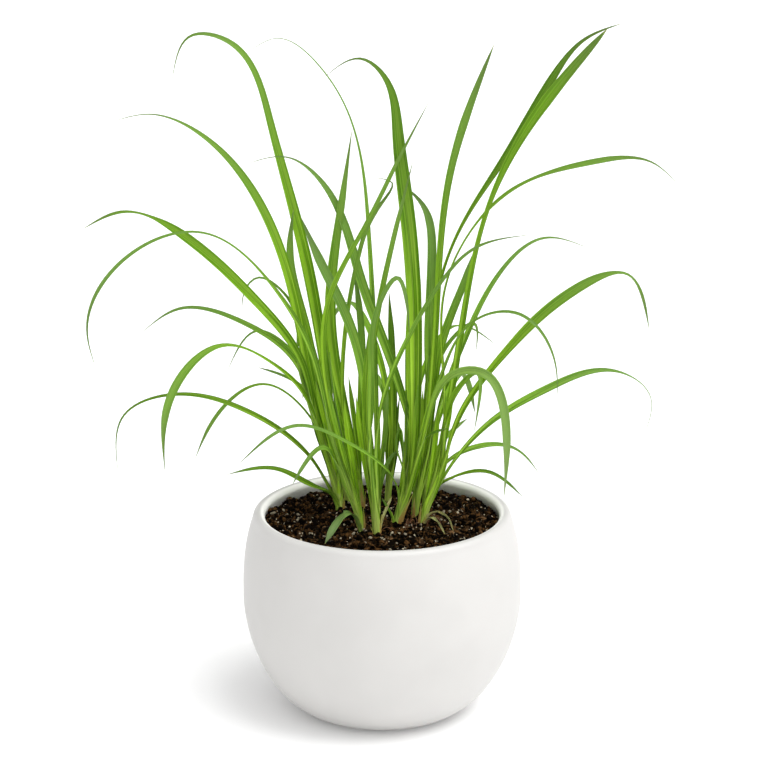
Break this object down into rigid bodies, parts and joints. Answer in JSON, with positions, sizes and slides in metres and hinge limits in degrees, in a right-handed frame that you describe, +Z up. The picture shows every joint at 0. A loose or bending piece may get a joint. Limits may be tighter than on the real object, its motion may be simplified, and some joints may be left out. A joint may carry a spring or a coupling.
{
  "type": "potted lemongrass plant",
  "caption": "Clump of lemongrass with upright stalks and long arching leaves, growing in potting mix in a round white ceramic pot; a table or shelf plant.",
  "frame": {"origin": "centre of the pot's flat foot, on the surface that it stands on", "axes": "+Z up, along the pot's axis; -Y to the front of the plant; +X to its right"},
  "size_m": [0.398, 0.2603, 0.4852],
  "materials": {
    "ceramic": "matte white",
    "potting_mix": "moist dark crumbs with pale grains",
    "stalk": "satin, pale at the foot",
    "leaf": "satin, finely ribbed",
    "dry_leaf": "dull, straw coloured"
  },
  "bodies": {
    "root": {"dry_leaf_01": "dry_leaf", "dry_leaf_02": "dry_leaf", "dry_leaf_03": "dry_leaf", "leaf_back_01": "leaf", "leaf_back_02": "leaf", "leaf_back_03": "leaf", "leaf_back_04": "leaf", "leaf_back_05": "leaf", "leaf_front_01": "leaf", "leaf_front_02": "leaf", "leaf_front_03": "leaf", "leaf_front_04": "leaf", "leaf_front_05": "leaf", "leaf_left_01": "leaf", "leaf_left_02": "leaf", "leaf_left_03": "leaf", "leaf_left_04": "leaf", "leaf_left_05": "leaf", "leaf_left_06": "leaf", "leaf_left_07": "leaf", "leaf_left_08": "leaf", "leaf_left_09": "leaf", "leaf_left_10": "leaf", "leaf_middle_01": "leaf", "leaf_middle_02": "leaf", "leaf_middle_03": "leaf", "leaf_middle_04": "leaf", "leaf_middle_05": "leaf", "leaf_middle_06": "leaf", "leaf_middle_07": "leaf", "leaf_middle_08": "leaf", "leaf_middle_09": "leaf", "leaf_middle_10": "leaf", "leaf_right_01": "leaf", "leaf_right_02": "leaf", "leaf_right_03": "leaf", "leaf_right_04": "leaf", "leaf_right_05": "leaf", "leaf_right_06": "leaf", "leaf_right_07": "leaf", "leaf_right_08": "leaf", "leaf_right_09": "leaf", "leaf_right_10": "leaf", "pot": "ceramic", "shoot_01": "leaf", "shoot_02": "leaf", "soil": "potting_mix", "stalk_01": "stalk", "stalk_02": "stalk", "stalk_03": "stalk", "stalk_04": "stalk", "stalk_05": "stalk", "stalk_06": "stalk", "stalk_07": "stalk", "stalk_08": "stalk", "stalk_09": "stalk", "stalk_10": "stalk", "stalk_11": "stalk", "stalk_12": "stalk"}
  },
  "joints": []
}
